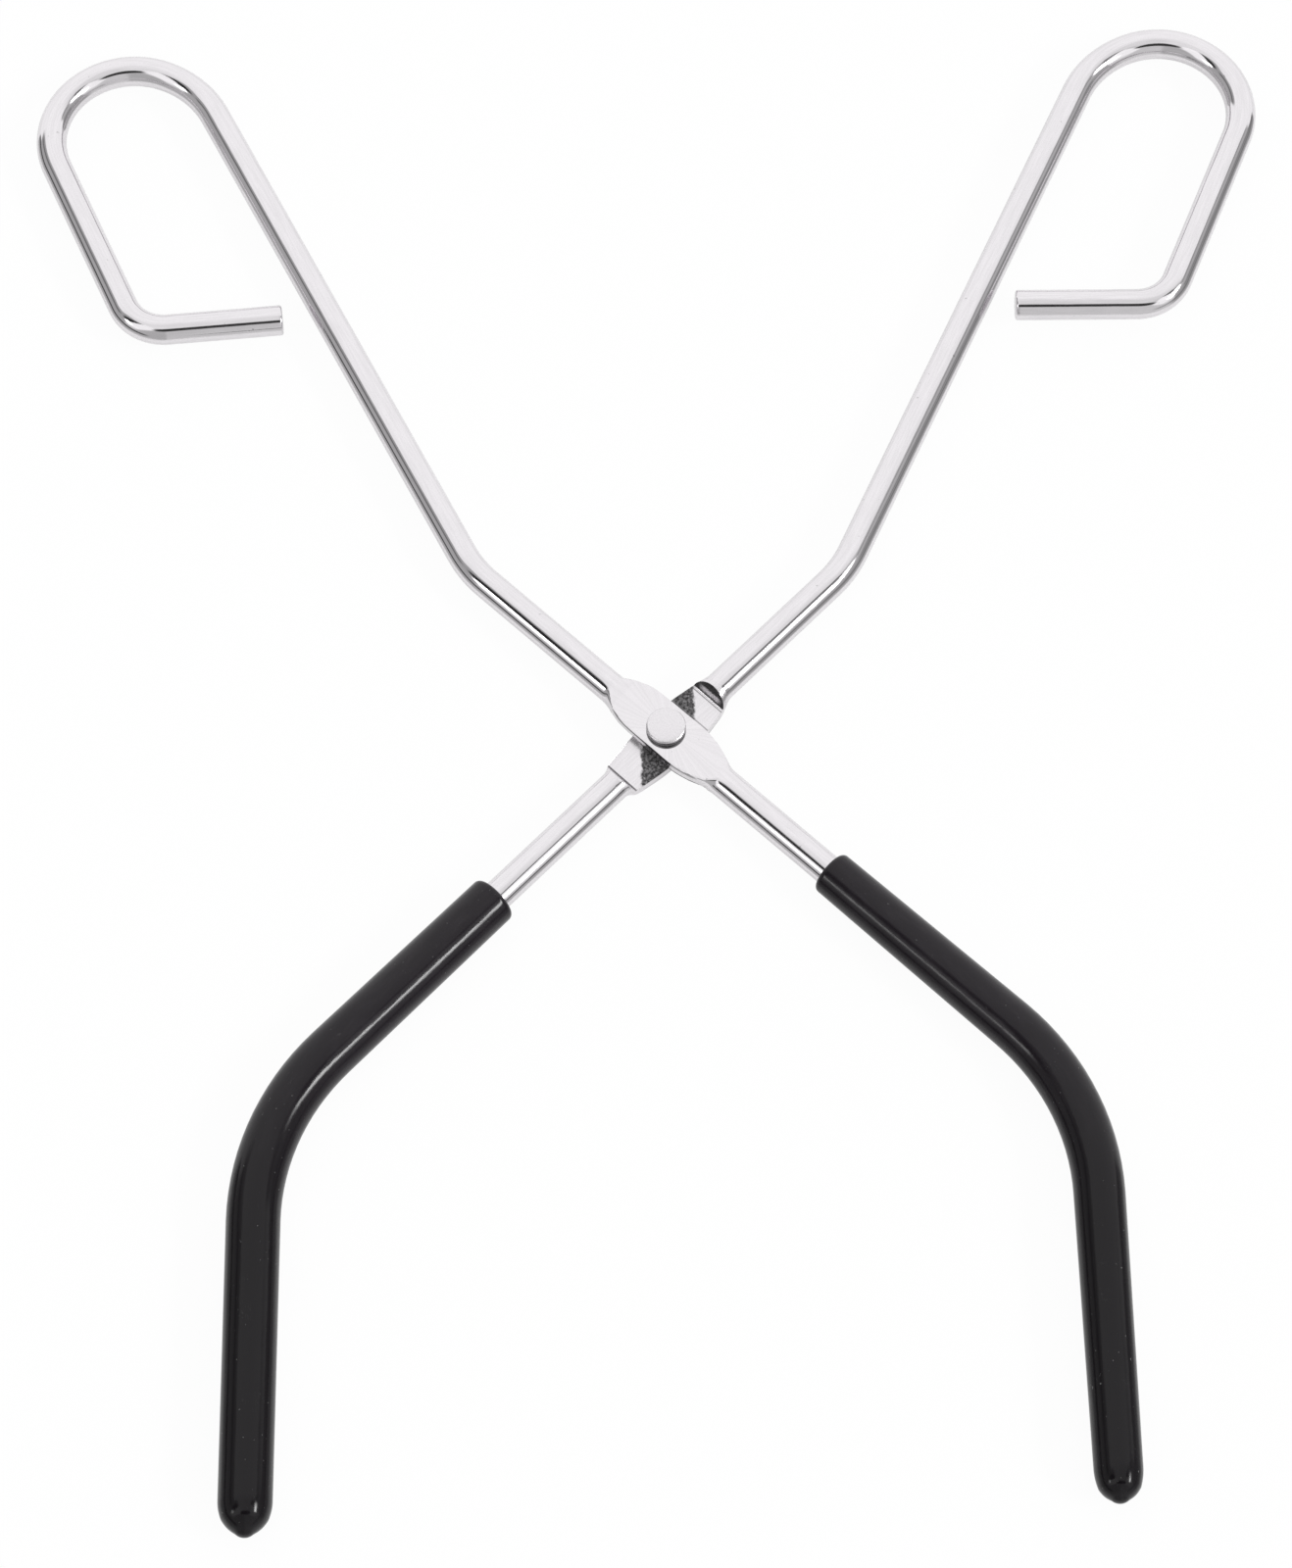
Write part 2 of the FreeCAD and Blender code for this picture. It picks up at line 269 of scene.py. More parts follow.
def lightTheRoom():
    world = bpy.data.worlds.new("studioRoom")
    bpy.context.scene.world = world
    room = Shader(world)
    ahead = room.node("TexCoord", output="Generated")
    east = room.node("SeparateXYZ", {}, {"Vector": ahead})
    north = east.part("Y")
    up = east.part("Z")
    fromZenith = up.most(0.0).maths("ARCCOSINE") * (2 / math.pi)
    level = (east * east + north * north).root().most(0.001)
    x = east / level * fromZenith
    y = north / level * fromZenith
    side = abs(x)
    toRight = x.ease(*roomPlan["middle"])

    def either(left, right):
        return left + toRight * (right - left)

    def light(name):
        return either(*studio[name])

    def place(name):
        return either(*roomPlan[name])

    def soft(value, name):
        return value.ease(*roomPlan[name])

    # the ceiling softbox, its near edge just above the camera
    brink = (side - place("brinkSlopeFrom")).ease(0.0, roomPlan["brinkSlopeLength"])
    brink = brink * place("brinkSlope") - roomPlan["brinkNear"]
    step = side.ease(place("brinkStepFrom"), place("brinkStepTo"))
    brink = brink + step * place("brinkStep")
    brink = brink + soft(side, "brinkLift") * roomPlan["brinkLiftHeight"]
    ceiling = soft(y - brink, "brinkSoft")
    curtain = soft(y, "curtainNear") * soft(y, "curtainFar") * soft(side, "curtainSide")
    curtain = curtain * (1 - toRight)
    ceiling = ceiling * (1 - curtain)
    above = light("ceilingNear").toward(studio["ceiling"], soft(y, "ceilingNearTo"))
    above = above * soft(up, "ceilingLowTo").span(studio["ceilingLow"], 1.0)

    # dim room on both sides, darkest just above each front panel
    gap = light("gap") + soft(side, "gapAbove") * studio["gapAbove"]
    gap = gap.toward(light("horizon"), soft(side, "horizon"))
    posts = soft(abs(side - place("post")), "postWidth")
    posts = posts + soft(abs(side - roomPlan["outerPost"]), "outerPostWidth") * toRight
    gap = gap * (1 - posts * soft(y, "postFoot") * light("posts"))
    wide = (side - place("patchAcross")) / place("patchHalfWidth")
    high = (y - place("patchUp")) / place("patchHalfHeight")
    patch = (wide * wide + high * high).root()
    gap = gap.toward(light("patch"), soft(patch, "patchSoft"))

    # front wall with a lit panel on each side of the camera
    slope, drop = roomPlan["panelTopLeft"]
    topLeft = side * slope - drop
    slope, drop = roomPlan["panelTopRight"]
    topRight = (side - roomPlan["panelTopFlat"]).most(0.0) * slope - drop
    lower = soft(either(topLeft, topRight) - y, "panelSoft")
    around = gap.toward(light("wall"), lower * soft(side, "wallSide"))
    foot = y + side * roomPlan["panelFootSlope"] + place("panelFoot")
    panel = lower * soft(foot, "panelFootSoft")
    panel = panel * soft(side - toRight * roomPlan["panelShift"], "panelSide")
    panel = panel * soft(fromZenith, "panelLow")
    around = around.toward(studio["panel"], panel)
    tube = side.ease(place("tubeInnerFrom"), place("tubeInnerTo"))
    tube = tube * side.ease(place("tubeOuterFrom"), place("tubeOuterTo"))
    tube = tube * y.ease(place("tubeTopFrom"), place("tubeTopTo")) * soft(y, "tubeFoot")
    # the tube shows in the first mirror image only, or it sparkles
    ray = room.node("LightPath", output="Glossy Depth")
    clean = (2 - ray).least(1.0).most(0.0) * (1 - ray.part("Diffuse Depth").least(1.0))
    around = around + tube * light("tube") * clean

    # camera and stand in the middle, then the skyline all round
    acrossCamera = x - roomPlan["camera"][0]
    upCamera = y - roomPlan["camera"][1]
    wide, high = roomPlan["cameraStretch"]
    dark = (acrossCamera * acrossCamera * wide + upCamera * upCamera * high).root()
    around = around.toward(studio["camera"], soft(dark, "cameraSoft"))
    skyline = soft(abs(up + roomPlan["skylineDrop"]), "skylineWidth")
    skyline = skyline * soft(side, "skylineSide")
    around = around * (1 - skyline * light("skyline"))
    seen = ray.part("Is Camera Ray")
    strength = around.toward(above, ceiling) * (1 - seen) + seen
    glow = room.node("Background", {}, {"Color": grey(1.0), "Strength": strength})
    room.node("OutputWorld", {}, {"Surface": glow})


table = {
    "top": -4.2,  # mm, the underside of the thicker sleeve
    "halfSize": 3000.0,
    "colour": 0.9,
    "glow": 0.955,  # share of plain white that the camera sees
    "glowInMetal": 0.5,
    "slantPast": (0.42, 0.72),  # metal sees past the table where it looks this flat
}


def layTheTable():
    half = table["halfSize"]
    corners = [(-half, -half), (half, -half), (half, half), (-half, half)]
    mesh = bpy.data.meshes.new("tableTop")
    points = [Vector((x, y, table["top"])) * millimetre for x, y in corners]
    mesh.from_pydata(points, [], [(0, 1, 2, 3)])
    top = bpy.data.objects.new("tableTop", mesh)
    bpy.context.scene.collection.objects.link(top)

    paint = Shader(bpy.data.materials.new("whiteTable"))
    matt = paint.node("BsdfDiffuse", {}, {"Color": grey(table["colour"])})
    white = paint.node("Emission", {}, {"Color": grey(1.0), "Strength": 1.0})
    path = paint.node("LightPath", output="Is Camera Ray")
    share = path.most(path.part("Is Transmission Ray")) * table["glow"]
    glossy = path.part("Is Glossy Ray")
    share = share.most(glossy * table["glowInMetal"])
    both = paint.node("MixShader", {}, {0: share, 1: matt, 2: white})
    slant = paint.node("LayerWeight", {}, {"Blend": 0.5}, "Facing")
    past = glossy * slant.ease(*table["slantPast"])
    nothing = paint.node("BsdfTransparent")
    both = paint.node("MixShader", {}, {0: past, 1: both, 2: nothing})
    paint.node("OutputMaterial", {}, {"Surface": both})
    mesh.materials.append(paint.owner)


lightTheRoom()
layTheTable()
print("room and table ready")


wire = {
    "radius": 2.5,
    "halfSpread": 45.45,  # degrees from the centre line, tongs open
    "shankBendTurn": 19.75,
    "shankBendRadius": 20.0,
    "loopLeadTurn": 45.0,
    "loopLeadRadius": 16.5,
    "loopRadius": 13.5,
    "loopSide": 34.7,
    "cornerRadius": 7.5,
    "jawBendRadius": 40.0,
    "cutEdge": 0.4,  # rolled edge of the sheared end
    "around": 48,  # points in a ring
    "bottom": 12,  # of them, steps across the underside
    "bendStep": 3.0,  # degrees between rings
    "runStep": 8.0,  # mm between rings
    "leastStep": 0.02,  # mm; closer rings are left out
    "bladeGap": 0.5,  # mm from the coined middle to the next ring
    "cutGap": 0.3,
    "cutSteps": 5,  # steps round the rolled edge
    "sharpAngle": 42,  # degrees; steeper edges stay sharp
}

frontArm = {
    "name": "frontArmWire",
    "node": "front_arm_wire",
    "body": "front_arm",
    "side": 1,
    "shankBendAt": 43.4,
    "shank": 96.9,
    "loopTurn": 177.1,
    "cornerTurn": 71.0,
    "end": 24.4,
    "jawBendAt": 89.6,
    "jawTurn": 45.35,
    "jaw": 66.1,
    "bore": 1.85,
    "undercut": 0.05,  # how far the leaf's lower edge draws in, as a share
    # half widths of the coined middle, by distance from the pivot
    "loopWidths": [
        (0, 4.12), (3.0, 4.12), (6.75, 3.93), (9.1, 3.25), (10.7, 2.72), (12.2, 2.5),
    ],
    "jawWidths": [
        (0, 4.12), (4.6, 4.12), (7.6, 3.6), (9.6, 2.97), (11.0, 2.6), (12.4, 2.5),
    ],
    "jawSkew": 0.0,  # sideways lean of the jaw side's swell
}

rearArm = {
    "name": "rearArmWire",
    "node": "rear_arm_wire",
    "body": "rear_arm",
    "side": -1,
    "shankBendAt": 41.2,
    "shank": 99.4,
    "loopTurn": 177.75,
    "cornerTurn": 67.6,
    "end": 25.15,
    "jawBendAt": 91.8,
    "jawTurn": 44.1,
    "jaw": 66.3,
    "bore": 1.8,
    "undercut": 0.0,
    "loopWidths": [
        (0, 4.07), (4.9, 3.9), (7.2, 3.56), (9.4, 3.17), (10.6, 2.78), (12.0, 2.5),
    ],
    "jawWidths": [
        (0, 4.07), (4.0, 3.98), (8.25, 3.44), (10.5, 3.1), (11.2, 2.72), (12.2, 2.5),
    ],
    "jawSkew": -0.06,
}


def direction(heading):
    angle = math.radians(heading)
    return Vector((math.cos(angle), math.sin(angle), 0))


def easeBetween(value, start, end):
    share = min(1, max(0, (value - start) / (end - start)))
    return share * share * (3 - 2 * share)


def setback(turn, radius):
    return radius * math.tan(math.radians(turn) / 2)


class Route:
    # Centre line in the plane of the arms, from the pivot outwards. A piece is
    # (distance along, start, heading, bend radius or 0, side that it bends to).
    def __init__(self, heading):
        self.pieces = []
        self.place = Vector((0, 0, 0))
        self.heading = heading
        self.length = 0.0

    def run(self, length):
        self.pieces.append((self.length, self.place, self.heading, 0, 1))
        self.place = self.place + direction(self.heading) * length
        self.length += length

    def bend(self, turn, radius):
        side = 1 if turn > 0 else -1
        self.pieces.append((self.length, self.place, self.heading, radius, side))
        centre = self.place + direction(self.heading + 90 * side) * radius
        self.heading += turn
        self.place = centre + direction(self.heading - 90 * side) * radius
        self.length += math.radians(abs(turn)) * radius

    def at(self, along):
        reached = [piece for piece in self.pieces if piece[0] <= along + 1e-9]
        start, place, heading, radius, side = reached[-1]
        if radius == 0:
            return place + direction(heading) * (along - start), heading
        turned = heading + side * math.degrees((along - start) / radius)
        centre = place + direction(heading + 90 * side) * radius
        return centre + direction(turned - 90 * side) * radius, turned

    def stations(self, first, last):
        found = [first]
        ends = [piece[0] for piece in self.pieces[1:]] + [self.length]
        for piece, end in zip(self.pieces, ends):
            start, radius = piece[0], piece[3]
            length = end - start
            step = math.radians(wire["bendStep"]) * radius if radius > 0 else wire["runStep"]
            count = max(1, round(length / step))
            found += [start + length * i / count for i in range(count + 1)]
        found = sorted(s for s in found if first <= s <= last) + [last]
        least = wire["leastStep"]
        return [s for s, after in zip(found, found[1:]) if after - s > least] + [last]


def shankRoute(arm):
    side = arm["side"]
    route = Route(90 + side * wire["halfSpread"])
    back = setback(wire["shankBendTurn"], wire["shankBendRadius"])
    cornerBack = setback(arm["cornerTurn"], wire["cornerRadius"])
    route.run(arm["shankBendAt"] - back)
    route.bend(-side * wire["shankBendTurn"], wire["shankBendRadius"])
    route.run(arm["shank"] - back)
    route.bend(side * wire["loopLeadTurn"], wire["loopLeadRadius"])
    route.bend(side * (arm["loopTurn"] - wire["loopLeadTurn"]), wire["loopRadius"])
    route.run(wire["loopSide"] - cornerBack)
    route.bend(side * arm["cornerTurn"], wire["cornerRadius"])
    route.run(arm["end"] - cornerBack)
    return route


def jawRoute(arm):
    side = arm["side"]
    route = Route(-90 + side * wire["halfSpread"])
    back = setback(arm["jawTurn"], wire["jawBendRadius"])
    route.run(arm["jawBendAt"] - back)
    route.bend(-side * arm["jawTurn"], wire["jawBendRadius"])
    route.run(arm["jaw"] - back)
    return route


blade = {
    # mm along the blade are counted from the pivot, towards the jaw
    "end": 14.0,  # the coined middle reaches this far each way
    "squareness": 13.0,
    "squareFrom": 7.0,
    "squareTo": 12.0,
    "flatLevel": 2.15,
    "flatHalfLength": 9.5,
    "flatRunout": 13.4,
    "flatSoftness": 0.25,
    "roundFrom": 11.5,  # from here the bar turns back into round wire
    "skewIn": (5.0, 10.0),
    "skewOut": (10.6, 12.5),
    "undercutIn": (0.5, 3.0),
    "undercutOut": (5.5, 9.3),
    "undercutTop": 1.9,
    "lapLevel": 0.05,
    "lapShankEnd": -9.35,
    "lapJawEnd": 10.55,
    "shoulderSlope": 22.0,  # degrees off upright
    "shoulderFoot": 85,  # degrees round the wire, where the shoulder runs out
    "footRelief": 40,  # degrees that the corner turns back beyond it
    "footLength": 3.0,
    "creaseRadius": 0.28,
    "edgeRound": 0.1,
    "edgeMost": 0.3,  # as a share of the half width
    "edgePull": 0.29,  # share of the round that its corner draws in
    "rings": 71,
    "leastStep": 0.025,  # mm
    "fineSteps": 360,  # steps in which a section is measured
    "boreSpan": (-0.6, 2.9),  # mm up, through the leaf only
    "boreAround": 64,
}


def through(points, at):
    # Smooth curve through (place, size) points, level past both ends
    if at >= points[-1][0]:
        return points[-1][1]
    i = max(k for k in range(len(points) - 1) if points[k][0] <= at)
    slopes = []
    for k in (i, i + 1):
        before, after = points[max(k - 1, 0)], points[min(k + 1, len(points) - 1)]
        inside = 0 < k < len(points) - 1
        slope = (after[1] - before[1]) / (after[0] - before[0])
        slopes.append(slope if inside else 0)
    (start, low), (end, high) = points[i], points[i + 1]
    length = end - start
    t = (at - start) / length
    bend = t * (1 - t) * length * ((1 - t) * slopes[0] - t * slopes[1])
    return low + (high - low) * t * t * (3 - 2 * t) + bend


def halfWidth(u, arm):
    return through(arm["jawWidths"] if u > 0 else arm["loopWidths"], abs(u))


def power(value, exponent):
    return math.copysign(abs(value) ** exponent, value)


def outline(u, angle, arm):
    # Section of the squeezed bar: squarer above, round below, flat on top
    radius = wire["radius"]
    square = 1 - easeBetween(abs(u), blade["squareFrom"], blade["squareTo"])
    exponent = 2 / (2 + blade["squareness"] * square) if 0 < angle < 180 else 1
    a = math.radians(angle)
    v = halfWidth(u, arm) * power(math.cos(a), exponent)
    skew = easeBetween(u, *blade["skewIn"]) * (1 - easeBetween(u, *blade["skewOut"]))
    v += arm["jawSkew"] * skew
    z = radius * power(math.sin(a), exponent)
    runout = blade["flatRunout"] - blade["flatHalfLength"]
    slope = max(0, abs(u) - blade["flatHalfLength"]) / runout
    level = blade["flatLevel"] + (radius - blade["flatLevel"]) * slope
    soft = blade["flatSoftness"]
    near = max(soft - abs(z - level), 0) / soft
    pressed = min(z, level) - near * near * soft / 4
    fade = 1 - easeBetween(abs(u), blade["roundFrom"], blade["end"])
    z += (pressed - z) * fade
    if v < 0:
        tuck = easeBetween(-u, *blade["undercutIn"])
        tuck *= 1 - easeBetween(-u, *blade["undercutOut"])
        v *= 1 - arm["undercut"] * tuck * (1 - min(1, max(0, z) / blade["undercutTop"]))
    return v, z


def lapLevel(u):
    # Height of the lap floor, a soft crease, then the shoulder falling away
    past = max(blade["lapShankEnd"] - u, u - blade["lapJawEnd"])
    soft = blade["creaseRadius"]
    if past > -soft:
        past = past if past > soft else (past + soft) ** 2 / (4 * soft)
        return blade["lapLevel"] - past / math.tan(math.radians(blade["shoulderSlope"]))
    return blade["lapLevel"]


lowestCut = -wire["radius"] * math.sin(math.radians(blade["shoulderFoot"]))


def cornerAngle(u):
    # Where the lap floor or the shoulder meets the side of the bar
    level = lapLevel(u)
    if level > 0:
        return 0.0
    if level > lowestCut:
        return -math.degrees(math.asin(-level / wire["radius"]))
    depth = (blade["lapLevel"] - lowestCut) * math.tan(math.radians(blade["shoulderSlope"]))
    past = max(blade["lapShankEnd"] - u, u - blade["lapJawEnd"]) - depth
    return blade["footRelief"] * easeBetween(past, 0, blade["footLength"]) - blade["shoulderFoot"]


def bladeSection(u, arm):
    # Points of the top, evened out by angle and length, then of the underside
    corner = cornerAngle(u)
    topSteps = wire["around"] - wire["bottom"]
    fine = blade["fineSteps"]
    edge = blade["edgeRound"]
    angles = [corner + (180 - 2 * corner) * i / fine for i in range(fine + 1)]
    points = [outline(u, a, arm) for a in angles]
    lengths = [0.0]
    for one, other in zip(points, points[1:]):
        lengths.append(lengths[-1] + math.dist(one, other))
    clipped = lapLevel(u) > lowestCut
    section = []
    for i in range(topSteps + 1):
        byAngle = lengths[round(i * fine / topSteps)]
        wanted = (byAngle + lengths[-1] * i / topSteps) / 2
        if clipped and i in (1, topSteps - 1):
            wanted = edge if i == 1 else lengths[-1] - edge
        index = min(range(fine + 1), key=lambda k: abs(lengths[k] - wanted))
        section.append(points[index])
    level = lapLevel(u)
    left, right = points[-1][0], points[0][0]
    for i in range(1, wire["bottom"]):
        share = i / wire["bottom"]
        if clipped:
            across = left + (right - left) * share
            if i == 1:
                across = min(left + edge, left / 2)
            if i == wire["bottom"] - 1:
                across = max(right - edge, right / 2)
            section.append((across, level))
        else:
            section.append(outline(u, 180 - corner + (180 + 2 * corner) * share, arm))
    if clipped:
        pull = min(edge, blade["edgeMost"] * right) * blade["edgePull"]
        for i, sign in ((0, 1), (topSteps, -1)):
            v, z = section[i]
            section[i] = (v - sign * pull, z + pull)
    return section


def bladeStations():
    slope = math.tan(math.radians(blade["shoulderSlope"]))
    half = blade["rings"] // 2
    found = [blade["end"] * (i / half - 1) for i in range(blade["rings"])]
    for end, way in ((blade["lapShankEnd"], -1), (blade["lapJawEnd"], 1)):
        soft = blade["creaseRadius"]
        found += [end + way * soft * (i / 4 - 1) for i in range(9)]
        for degrees in range(5, blade["shoulderFoot"] + 1, 5):
            depth = blade["lapLevel"] + wire["radius"] * math.sin(math.radians(degrees))
            found.append(end + way * depth * slope)
    found.sort()
    kept = [found[0]]
    for u in found[1:]:
        if u - kept[-1] > blade["leastStep"]:
            kept.append(u)
    return kept


def makeMesh(name, points, faces):
    # Takes millimetres
    mesh = bpy.data.meshes.new(name)
    mesh.from_pydata([p * millimetre for p in points], [], faces)
    work = bmesh.new()
    work.from_mesh(mesh)
    bmesh.ops.recalc_face_normals(work, faces=work.faces)
    work.to_mesh(mesh)
    work.free()
    mesh.shade_smooth()
    return mesh


def skin(rings):
    # Quads between rings of equal count, and a fan to close each end
    count = len(rings[0])
    points = [p for ring in rings for p in ring]
    faces = []
    for r in range(len(rings) - 1):
        for i in range(count):
            after = (i + 1) % count
            a, b = r * count, (r + 1) * count
            faces.append((a + i, a + after, b + after, b + i))
    for ring, start in ((rings[0], 0), (rings[-1], len(points) - count)):
        middle = sum(ring, Vector((0, 0, 0))) / count
        points.append(middle)
        hub = len(points) - 1
        faces += [(start + i, start + (i + 1) % count, hub) for i in range(count)]
    return points, faces


def show(mesh, name, body, node):
    # Puts a piece on its body, in place of the plain solid
    piece = bpy.data.objects.new(name, mesh)
    bpy.context.scene.collection.objects.link(piece)
    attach(piece, body)
    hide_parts(node)
    return piece


def roundSection(size):
    turn = 2 * math.pi / wire["around"]
    angles = [turn * i - math.pi / 4 for i in range(wire["around"])]
    return [(size * math.cos(a), size * math.sin(a)) for a in angles]


def armSections(arm):
    # (place, direction across, distance along, section) from the cut loop end,
    # through the blade, to the end in the sleeve; distances are negative on the
    # shank side
    shank = shankRoute(arm)
    jaw = jawRoute(arm)
    cut = wire["cutEdge"]
    bladeEnd = blade["end"] + wire["bladeGap"]
    cutStart = shank.length - cut - wire["cutGap"]
    found = []
    for i in range(wire["cutSteps"] + 1):
        roll = math.pi / 2 * i / wire["cutSteps"]
        s = shank.length - cut * (1 - math.cos(roll))
        place, heading = shank.at(s)
        size = wire["radius"] - cut * (1 - math.sin(roll))
        found.append((place, direction(heading - 90), -s, roundSection(size)))
    for s in reversed(shank.stations(bladeEnd, cutStart)):
        place, heading = shank.at(s)
        found.append((place, direction(heading - 90), -s, roundSection(wire["radius"])))
    heading = jaw.pieces[0][2]
    for u in bladeStations():
        found.append((direction(heading) * u, direction(heading + 90), u, bladeSection(u, arm)))
    for s in jaw.stations(bladeEnd, jaw.length - sleeveShape["tipWall"]):
        place, heading = jaw.at(s)
        found.append((place, direction(heading + 90), s, roundSection(wire["radius"])))
    return found


def remember(mesh, values):
    # Each point's place on the straightened bar, in mm, for the finishes
    layer = mesh.attributes.new("straight", "FLOAT_VECTOR", "POINT")
    layer.data.foreach_set("vector", [c for value in values for c in value])


def key(place):
    return tuple(round(c / millimetre, 3) for c in place)


def ringOf(radius, z, count):
    angles = [2 * math.pi * i / count for i in range(count)]
    return [Vector((radius * math.cos(a), radius * math.sin(a), z)) for a in angles]


def drill(mesh, memory, radius, heading, side):
    # Bore for the rivet, through the leaf only; the cut forgets the memory
    rings = [ringOf(radius, z * side, blade["boreAround"]) for z in blade["boreSpan"]]
    cutter = bpy.data.objects.new("cutter", makeMesh("cutter", *skin(rings)))
    blank = bpy.data.objects.new("blank", mesh)
    for item in (cutter, blank):
        bpy.context.scene.collection.objects.link(item)
    cut = blank.modifiers.new("bore", "BOOLEAN")
    cut.operation = "DIFFERENCE"
    cut.solver = "EXACT"
    cut.object = cutter
    result = blank.evaluated_get(bpy.context.evaluated_depsgraph_get())
    drilled = bpy.data.meshes.new_from_object(result)
    for item in (cutter, blank):
        bpy.data.objects.remove(item)
    kept = {key(vertex.co): value for vertex, value in zip(mesh.vertices, memory)}
    values = []
    for vertex in drilled.vertices:
        place = vertex.co / millimetre
        along, across = place.dot(direction(heading)), place.dot(direction(heading + 90))
        fresh = (along, across, place.z * side)
        values.append(kept.get(key(vertex.co), fresh))
    remember(drilled, values)
    return drilled


def smoothen(piece, degrees):
    # Even shading over curved faces, with the sharp edges kept
    piece.data.set_sharp_from_angle(angle=math.radians(degrees))
    even = piece.modifiers.new("evenShading", "WEIGHTED_NORMAL")
    even.keep_sharp = True


def makeArm(arm, finish):
    side = arm["side"]
    rings = []
    memory = []
    for place, across, along, section in armSections(arm):
        rings.append([place + across * v + Vector((0, 0, z * side)) for v, z in section])
        memory += [(along, v, z) for v, z in section]
    points, faces = skin(rings)
    memory += [(memory[0][0], 0, 0), (memory[-1][0], 0, 0)]
    mesh = makeMesh(arm["name"], points, faces)
    mesh = drill(mesh, memory, arm["bore"], -90 + side * wire["halfSpread"], side)
    mesh.name = arm["name"]
    mesh.materials.clear()
    mesh.materials.append(finish)
    piece = show(mesh, arm["name"], arm["body"], arm["node"])
    smoothen(piece, wire["sharpAngle"])


rivet = {
    "around": 96,
    "sharpAngle": 42,  # degrees
    "headOffCentre": (-0.3, 0.25),  # set a little to one side
    "headFrom": (2.15, 2.21),  # mm up, where the shank turns into the head
    # (radius, height) up the outline, from the middle of the peened tail
    "outline": [
        (0.0, -3.35), (0.7, -3.35), (1.3, -3.33), (1.8, -3.25), (2.3, -3.1), (2.7, -2.87),
        (2.98, -2.6), (3.13, -2.38), (3.17, -2.26), (3.14, -2.19), (3.06, -2.16), (1.8, -2.16),
        (1.8, 2.21), (3.08, 2.21), (3.15, 2.23), (3.17, 2.28), (3.17, 2.6), (3.17, 3.06),
        (3.16, 3.14), (3.135, 3.21), (3.09, 3.28), (3.03, 3.335), (2.95, 3.375), (2.85, 3.405),
        (2.7, 3.43), (2.5, 3.452), (2.2, 3.477), (1.7, 3.507), (1.2, 3.53), (0.6, 3.545),
        (0.0, 3.55),
    ],
}


def turned(profile, around):
    # Mesh of revolution about Z; the first and last points lie on the axis
    points = [Vector((0, 0, profile[0][1])), Vector((0, 0, profile[-1][1]))]
    rings = profile[1:-1]
    for radius, height in rings:
        points += ringOf(radius, height, around)
    faces = []
    last = 2 + (len(rings) - 1) * around
    for i in range(around):
        after = (i + 1) % around
        faces += [(0, 2 + after, 2 + i), (1, last + i, last + after)]
        for r in range(len(rings) - 1):
            a, b = 2 + r * around, 2 + (r + 1) * around
            faces.append((a + i, a + after, b + after, b + i))
    return points, faces


def makeRivet(finish):
    points, faces = turned(rivet["outline"], rivet["around"])
    for point in points:
        share = easeBetween(point.z, *rivet["headFrom"])
        point.x += rivet["headOffCentre"][0] * share
        point.y += rivet["headOffCentre"][1] * share
    mesh = makeMesh("pivotRivet", points, faces)
    mesh.materials.append(finish)
    piece = show(mesh, "pivotRivet", "rear_arm", "pivot_rivet")
    smoothen(piece, rivet["sharpAngle"])


sleeveShape = {
    "lip": 0.9,
    "tip": 5.6,
    "tipWall": 3.8,
    "neckRatio": 0.86,
    "noseRadius": 2.0,
    "noseMost": 0.6,  # as a share of the sleeve's radius
    "bulge": 0.2,  # of the cone between neck and nose
    "tipSteps": 6,  # in the neck, and again in the cone
    "boreRadius": 2.54,
    "mouthRound": [(0.07, 0.05), (0, 0.22)],  # (in from the mouth, out from the bore)
    "mouthGap": 0.25,  # mm from the mouth to the bore's first ring
    "lipGap": 0.3,
    "wireEndGap": 0.03,
    "around": 64,
    "sharpAngle": 50,  # degrees
}

frontSleeve = {
    "name": "frontJawSleeve",
    "node": "front_jaw_sleeve",
    "body": "front_arm",
    "start": 34.6,
    "mouth": 7.3,
    "bend": 8.0,
    "end": 7.5,
}

rearSleeve = {
    "name": "rearJawSleeve",
    "node": "rear_jaw_sleeve",
    "body": "rear_arm",
    "start": 39.1,
    "mouth": 8.0,
    "bend": 8.4,
    "end": 8.3,
}


def sleeveRadius(sleeve, jaw, s):
    # Outside radius at a distance along the jaw, from the lip to the tip
    bendStart = jaw.pieces[1][0]
    bendEnd = jaw.pieces[2][0]
    tipStart = jaw.length - sleeveShape["tip"]
    mouth, bent, end = sleeve["mouth"] / 2, sleeve["bend"] / 2, sleeve["end"] / 2
    if s <= bendStart:
        share = max(0, s - sleeve["start"] - sleeveShape["lip"]) / (bendStart - sleeve["start"])
        return mouth + (bent - mouth) * share
    if s <= bendEnd:
        return bent
    return bent + (end - bent) * min(1, (s - bendEnd) / (tipStart - bendEnd))


def tipOutline(radius):
    # (distance from the start of the tip, radius): neck, 45 degree cone, round nose
    nose = min(sleeveShape["noseRadius"], sleeveShape["noseMost"] * radius)
    centre = sleeveShape["tip"] - nose
    coneEnd = nose * math.sqrt(0.5)
    coneEndAt = centre + coneEnd
    neck = sleeveShape["neckRatio"] * radius
    neckAt = centre + 2 * coneEnd - neck
    loss = 1 - sleeveShape["neckRatio"]
    steps = sleeveShape["tipSteps"]
    found = []
    for i in range(1, steps + 1):
        found.append((neckAt * i / steps, radius * (1 - loss * (i / steps) ** 2)))
    for i in range(1, steps):
        share = i / steps
        out = sleeveShape["bulge"] * math.sin(math.pi * share) * math.sqrt(0.5)
        at = neckAt + (coneEndAt - neckAt) * share
        found.append((at + out, neck + (coneEnd - neck) * share + out))
    for degrees in range(45, 4, -5):
        slope = math.radians(degrees)
        found.append((centre + nose * math.cos(slope), nose * math.sin(slope)))
    return found


